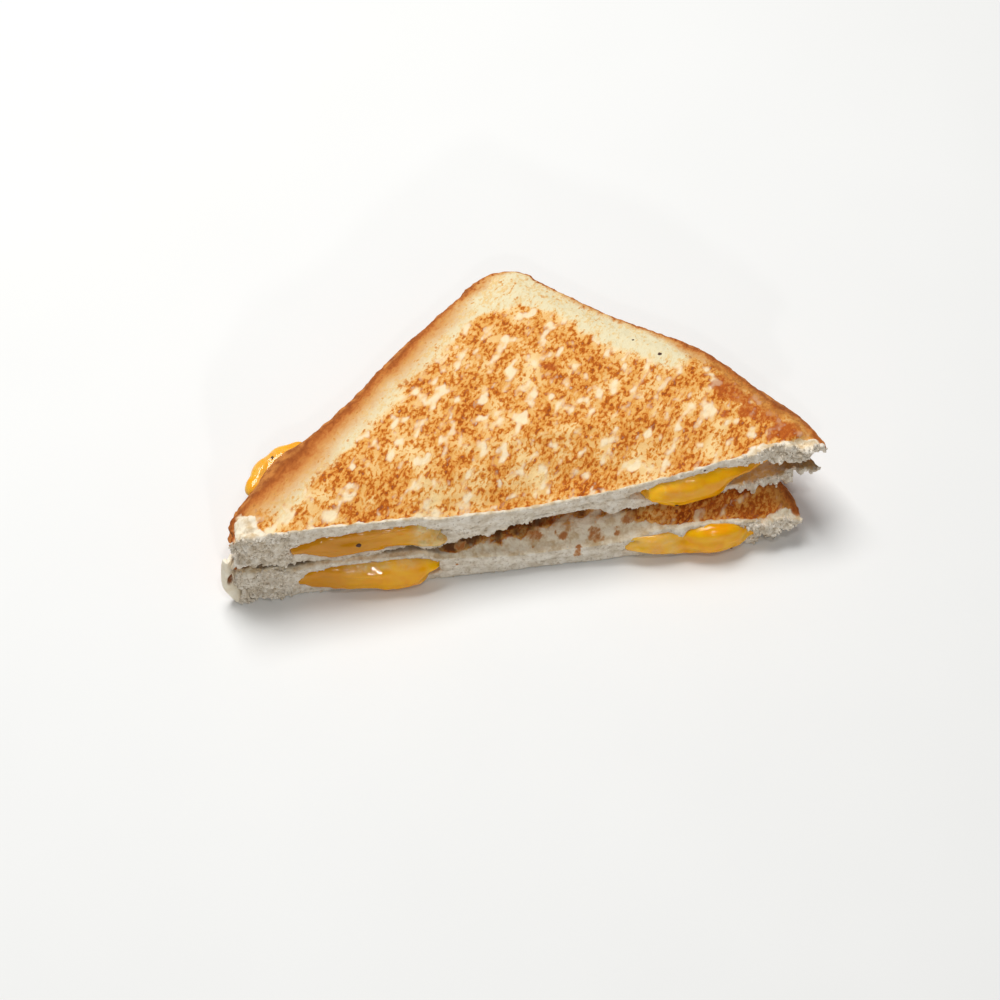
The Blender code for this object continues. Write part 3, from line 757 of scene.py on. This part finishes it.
def cheese(node):
    """One layer, melted: it swells and sags at the cut, and draws back where the solid is a thin sheet."""
    mesh = dense_copy(node, CHEESE_VOXEL, CHEESE_SMOOTHING)
    keep_largest(mesh)
    points, normals = get_points(mesh), get_normals(mesh)
    depth = cuts[node[:5]].depth(points)
    thin = 1.0 - ramp(thickness(node, points), 0.6 * MM, 1.6 * MM)
    front = 1.0 - ramp(depth, 0.0, 5.0 * MM)
    push = CHEESE_SWELL + 0.12 * field(points, 5.0, 11) + part_field(front, points, swell_relief)
    points = points + normals * (push * MM * (1.0 - thin))[:, None]
    points[:, 1] += thin * 4.0 * MM * (1.0 - ramp(depth, 0.0, 8.0 * MM))
    points = nudged(points, NUDGES[node])
    points[:, 2] = np.maximum(points[:, 2], LOWEST)
    put_points(mesh, points)
    film, dark = cheese_looks_at(node, points, depth, front)
    put_attribute(mesh, "film", film)
    put_attribute(mesh, "dark", dark)
    mesh.shade_smooth()
    piece = link(node + "_melted", mesh)
    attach(piece, "root")
    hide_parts(node)
    return piece


# ---------------------------------------------------------------- materials
def tint(name):
    """A named colour as the linear one that a shader takes."""
    shares = [value / 255.0 for value in COLOURS[name]]
    linear = [share / 12.92 if share <= 0.04045 else ((share + 0.055) / 1.055) ** 2.4 for share in shares]
    return (*linear, 1.0)


class Material:
    """A node material that is written as calls."""

    def __init__(self, name):
        self.material = bpy.data.materials.new(name)
        self.material.use_nodes = True
        self.tree = self.material.node_tree
        self.shader = self.tree.nodes["Principled BSDF"]
        coordinates = self.tree.nodes.new("ShaderNodeTexCoord")
        place, millimetres = coordinates.outputs["Object"], (1000.0, 1000.0, 1000.0)
        self.place = self.math("MULTIPLY", place, millimetres, kind="ShaderNodeVectorMath")

    def feed(self, socket, value):
        if isinstance(value, bpy.types.NodeSocket):
            self.tree.links.new(value, socket)
        else:
            socket.default_value = value

    def math(self, operation, *values, kind="ShaderNodeMath"):
        node = self.tree.nodes.new(kind)
        node.operation = operation
        for socket, value in zip(node.inputs, values):
            self.feed(socket, value)
        return node.outputs[0]

    def attribute(self, name):
        node = self.tree.nodes.new("ShaderNodeAttribute")
        node.attribute_name = name
        return node.outputs["Fac"]

    def noise(
        self, size, detail, roughness=0.5, distortion=0.0, stretch=(1.0, 1.0, 1.0), turn=0.0, seed=0.0
    ):
        """Noise from 0 to 1 in lumps of about size millimetres, stretched along axes turned about Z."""
        mapping = self.tree.nodes.new("ShaderNodeMapping")
        mapping.vector_type = "TEXTURE"
        self.feed(mapping.inputs["Vector"], self.place)
        mapping.inputs["Rotation"].default_value = (0.0, 0.0, turn)
        mapping.inputs["Scale"].default_value = stretch
        mapping.inputs["Location"].default_value = (seed * 13.1, seed * 7.7, seed * 5.3)
        node = self.tree.nodes.new("ShaderNodeTexNoise")
        self.feed(node.inputs["Vector"], mapping.outputs[0])
        node.inputs["Scale"].default_value = 1.0 / size
        node.inputs["Detail"].default_value = detail
        node.inputs["Roughness"].default_value = roughness
        node.inputs["Distortion"].default_value = distortion
        return node.outputs["Fac"]

    def step(self, value, low, high, start=0.0, end=1.0):
        """start below low, end above high, smooth between."""
        node = self.tree.nodes.new("ShaderNodeMapRange")
        node.interpolation_type = "SMOOTHSTEP"
        for socket, given in zip(node.inputs[:5], (value, low, high, start, end)):
            self.feed(socket, given)
        return node.outputs[0]

    def mix(self, factor, first, second):
        node = self.tree.nodes.new("ShaderNodeMix")
        node.data_type = "RGBA"
        self.feed(node.inputs["Factor"], factor)
        sockets = {socket.identifier: socket for socket in (*node.inputs, *node.outputs)}
        self.feed(sockets["A_Color"], first)
        self.feed(sockets["B_Color"], second)
        return sockets["Result_Color"]

    def chain(self, operation, values):
        """The operation on all the values, one after the other."""
        total = values[0]
        for value in values[1:]:
            total = self.math(operation, total, value)
        return total

    def add(self, *values):
        return self.chain("ADD", values)

    def times(self, *values):
        return self.chain("MULTIPLY", values)

    def swing(self, value, amount):
        """Noise as a swing about 0."""
        return self.math("MULTIPLY_ADD", value, amount, -0.5 * amount)

    def bump(self, height, distance, strength):
        node = self.tree.nodes.new("ShaderNodeBump")
        node.inputs["Strength"].default_value = strength
        node.inputs["Distance"].default_value = distance
        self.feed(node.inputs["Height"], height)
        self.tree.links.new(node.outputs[0], self.shader.inputs["Normal"])


def bread_material():
    m = Material("toasted_bread_looks")
    rim, depth, toasted, bare, brown, scorch, roast, wet, deep, spot, inside = (
        m.attribute(name) for name in BREAD_ATTRIBUTES
    )
    along = math.radians(58.0)  # the way most browned streaks run
    streaky = dict(stretch=(1.35, 0.85, 1.0), turn=along)

    dots = m.noise(1.0, 2.0, 0.55, 0.3, (1.25, 0.85, 1.0), along, seed=2.0)
    worms = m.noise(2.0, 2.0, 0.55, 0.9, **streaky, seed=3.0)
    island = m.noise(5.0, 1.5, 0.5, 0.5, **streaky, seed=4.0)
    isle = m.noise(3.4, 1.0, 0.5, 0.0, **streaky, seed=8.0)
    broad = m.noise(20.0, 2.0, 0.5, seed=5.0)

    # The toasted face: heat is the slow change from pale to brown, and grain adds the browned dots to it.
    border = m.step(m.add(inside, m.times(island, 6.0)), 8.0, 14.0)
    heat = m.add(
        m.swing(island, 3.6), m.swing(broad, 2.2), m.times(brown, 0.6), m.times(border, 1.3),
        m.times(scorch, 1.5), -1.3,
    )
    grain = m.add(m.swing(dots, 11.0), m.swing(worms, 6.0), heat)
    toast = m.mix(m.step(heat, -1.6, 1.0), tint("toast_pale"), tint("toast_gold"))
    for name, low, high in (("toast_tan", -0.9, 0.2), ("toast_brown", 0.6, 1.4), ("toast_dark", 2.0, 3.2)):
        toast = m.mix(m.step(grain, low, high), toast, tint(name))
    pale_isle = m.step(m.add(isle, m.swing(dots, 0.25), m.times(heat, -0.03)), 0.54, 0.71)
    toast = m.mix(m.times(pale_isle, 0.9), toast, tint("toast_isle"))
    yellowed = m.step(m.add(grain, m.swing(isle, 5.0)), -2.4, 1.6)
    yellow = m.mix(yellowed, tint("border_pale"), tint("border_gold"))
    outside = m.times(m.step(border, 0.15, 0.85, 1.0, 0.0), m.step(grain, -0.2, 1.2, 1.0, 0.35))
    toast = m.mix(outside, toast, yellow)
    scorched = m.step(m.add(scorch, m.times(worms, 0.9)), 0.75, 1.25)
    toast = m.mix(m.times(scorched, 0.6), toast, tint("scorched"))

    # The crumb of the cut, the crust of the sides, and the crumb that shows through the toasted face.
    crumb_tone = m.noise(2.4, 4.0, 0.6, seed=1.0)
    # Painted shade: dark specks stand in for the shade inside the crumb's pores.
    pore_shade = m.noise(0.8, 2.0, 0.6, seed=9.0)
    crumb = m.mix(m.step(crumb_tone, 0.3, 0.7), tint("crumb_shade"), tint("crumb_light"))
    crumb = m.mix(m.step(pore_shade, 0.55, 0.7, 0.0, 0.6), crumb, tint("pore_painted_shade"))
    crust_tone = m.noise(2.5, 4.0, 0.6, seed=6.0)
    crust = m.mix(m.step(crust_tone, 0.35, 0.65), tint("crust_light"), tint("crust_dark"))
    bared = m.step(m.add(bare, m.times(worms, 0.8), m.times(dots, 1.1), -0.95), 0.22, 0.78)
    pale = m.mix(m.step(crumb_tone, 0.32, 0.62), tint("bared_shade"), tint("bared_light"))
    colour = m.mix(toasted, crumb, m.mix(bared, toast, pale))

    # The brown rim of the toasted face, by each point's share of the rim's width.
    uneven = m.add(rim, m.times(worms, 4.2), m.times(dots, 2.8), m.times(isle, 2.0), -4.5)
    share = m.math("DIVIDE", uneven, roast)
    roasts = m.times(toasted, m.step(m.times(bared, rim), 1.2, 2.4, 1.0, 0.0))
    for name, low, high, most in (
        ("roast_light", 0.9, 2.9, 0.9), ("roast_brown", 0.4, 1.4, 0.9), ("roast_dark", 0.0, 0.8, 0.8),
    ):
        colour = m.mix(m.times(m.step(share, low, high, 1.0, 0.0), roasts, most), colour, tint(name))
    mottled = m.times(m.step(share, 0.6, 2.4, 1.0, 0.0), roasts, m.step(grain, 0.2, 1.8))
    colour = m.mix(m.times(mottled, 0.55), colour, tint("roast_mottle"))
    inward = m.add(rim, toasted, m.times(crust_tone, 0.9))
    crusty = m.times(m.step(inward, 1.3, 2.6, 1.0, 0.0), m.step(depth, 0.4, 1.4))
    colour = m.mix(crusty, colour, crust)

    # Fat on the slice under the cheese, painted shade (toasted crust in the gap under the arch darkened
    # further, and the wet face under the torn rim darkened), and the brown spots under the arch.
    colour = m.mix(m.times(wet, m.step(crumb_tone, 0.35, 0.6)), colour, tint("greasy"))
    colour = m.mix(m.times(deep, 0.9), colour, tint("painted_shade_brown"))
    near_spot = m.step(spot, 0.0, 0.25)
    spot = m.add(spot, m.swing(dots, 2.0), m.swing(worms, 1.3))
    for name, low, high in (("spot_edge", 0.0, 0.8), ("spot_middle", 0.45, 1.2)):
        colour = m.mix(m.times(near_spot, m.step(spot, low, high, 0.0, 0.8)), colour, tint(name))

    m.feed(m.shader.inputs["Base Color"], colour)
    m.feed(m.shader.inputs["Roughness"], m.step(wet, 0.1, 0.9, 0.8, 0.28))
    m.shader.inputs["Specular IOR Level"].default_value = 0.15
    fine = m.noise(0.45, 2.0, 0.6, seed=7.0)
    m.bump(m.add(m.times(dots, 0.5), m.times(worms, 0.4), m.times(fine, 0.35)), 0.5 * MM, 0.75)
    return m.material


def cheese_material():
    m = Material("melted_cheese_looks")
    film, dark = m.attribute("film"), m.attribute("dark")
    tone = m.noise(5.0, 2.0, 0.5, 0.5, seed=1.0)
    speck = m.noise(1.1, 2.0, 0.5, seed=3.0)
    bright = m.mix(m.step(tone, 0.3, 0.7), tint("cheese_bright"), tint("cheese_warm"))
    # Painted shade: a deeper amber where the cheese lies in shade.
    colour = m.mix(dark, bright, tint("painted_shade_amber"))
    colour = m.mix(m.times(film, m.step(speck, 0.3, 0.6, 0.5, 1.0)), colour, tint("cheese_film"))
    m.feed(m.shader.inputs["Base Color"], colour)
    m.feed(m.shader.inputs["Roughness"], m.step(speck, 0.3, 0.7, 0.04, 0.12))
    m.shader.inputs["Specular IOR Level"].default_value = 0.35
    m.shader.inputs["Subsurface Weight"].default_value = 0.3
    m.shader.inputs["Subsurface Radius"].default_value = (1.0, 0.45, 0.08)
    m.shader.inputs["Subsurface Scale"].default_value = 1.5 * MM
    m.bump(m.add(m.times(m.noise(2.8, 1.0, 0.5, seed=2.0), 0.8), m.times(film, speck, 2.4)), 0.3 * MM, 0.7)
    return m.material


def skin_material():
    m = Material("crust_skin_looks")
    tone = m.noise(3.0, 3.0, 0.6, seed=1.0)
    colour = m.mix(m.step(tone, 0.3, 0.7), tint("skin_shade"), tint("skin_light"))
    # Painted shade: the dent of the hole is coloured dark brown.
    m.feed(m.shader.inputs["Base Color"], m.mix(m.attribute("hole"), colour, tint("painted_hole_shade")))
    m.shader.inputs["Roughness"].default_value = 0.6
    m.bump(m.noise(0.8, 3.0, 0.6, seed=2.0), 0.25 * MM, 0.5)
    return m.material


def fleck_material():
    m = Material("dark_fleck_looks")
    tone = m.noise(0.4, 2.0, seed=1.0)
    m.feed(m.shader.inputs["Base Color"], m.mix(tone, tint("fleck_dark"), tint("fleck_light")))
    m.shader.inputs["Roughness"].default_value = 0.5
    m.bump(m.noise(0.2, 2.0, seed=2.0), 0.1 * MM, 0.5)
    return m.material


def floor_material():
    m = Material("floor_looks")
    tone = m.noise(60.0, 2.0)
    m.feed(m.shader.inputs["Base Color"], m.mix(tone, tint("floor_shade"), tint("floor_light")))
    m.shader.inputs["Roughness"].default_value = 0.7
    return m.material


# ---------------------------------------------------------------- light, floor and camera
def area_light(name, energy, size, place):
    """A square light at that place, aimed at the origin."""
    light = bpy.data.lights.new(name, "AREA")
    light.energy = energy
    light.size = size
    lamp = link(name, light)
    lamp.location = place
    lamp.rotation_euler = (Vector() - Vector(place)).to_track_quat("-Z", "Y").to_euler()


def studio():
    """The white world, the lights, the floor and the photo's camera."""
    scene = bpy.context.scene
    scene.view_settings.view_transform = "Standard"
    world = bpy.data.worlds.new("studio")
    scene.world = world
    world.use_nodes = True
    background = world.node_tree.nodes["Background"].inputs
    background["Color"].default_value = (1.0, 1.0, 1.0, 1.0)
    background["Strength"].default_value = WORLD_STRENGTH
    for light in LIGHTS:
        area_light(*light)

    mesh = bpy.data.meshes.new("floor")
    bm = bmesh.new()
    bmesh.ops.create_grid(bm, x_segments=1, y_segments=1, size=FLOOR_SIZE)
    bm.to_mesh(mesh)
    bm.free()
    mesh.materials.append(floor_material())
    floor = link("floor", mesh)
    floor.location.z = cad_low[2] - FLOOR_DROP

    data = bpy.data.cameras.new("camera")
    data.lens = CAMERA_LENS
    data.sensor_width = CAMERA_SENSOR
    camera = link("camera", data)
    camera.location = CAMERA_PLACE
    camera.rotation_euler = (CAMERA_TILT, 0.0, CAMERA_TURN)
    scene.camera = camera


slices = [bread(node) for node in SLICES]
layers = [cheese(node) for node in ("lower_half_cheese", "upper_half_cheese")]
crumb_pieces = [crumbs("lower_half_crumbs", slices[:2], 11), crumbs("upper_half_crumbs", slices[2:], 12)]
dressed = (
    (bread_material(), (*slices, *crumb_pieces)),
    (cheese_material(), layers),
    (skin_material(), (crust_skin(),)),
    (fleck_material(), (specks(slices + layers),)),
)
for looks, pieces in dressed:
    for piece in pieces:
        piece.data.materials.clear()
        piece.data.materials.append(looks)
studio()
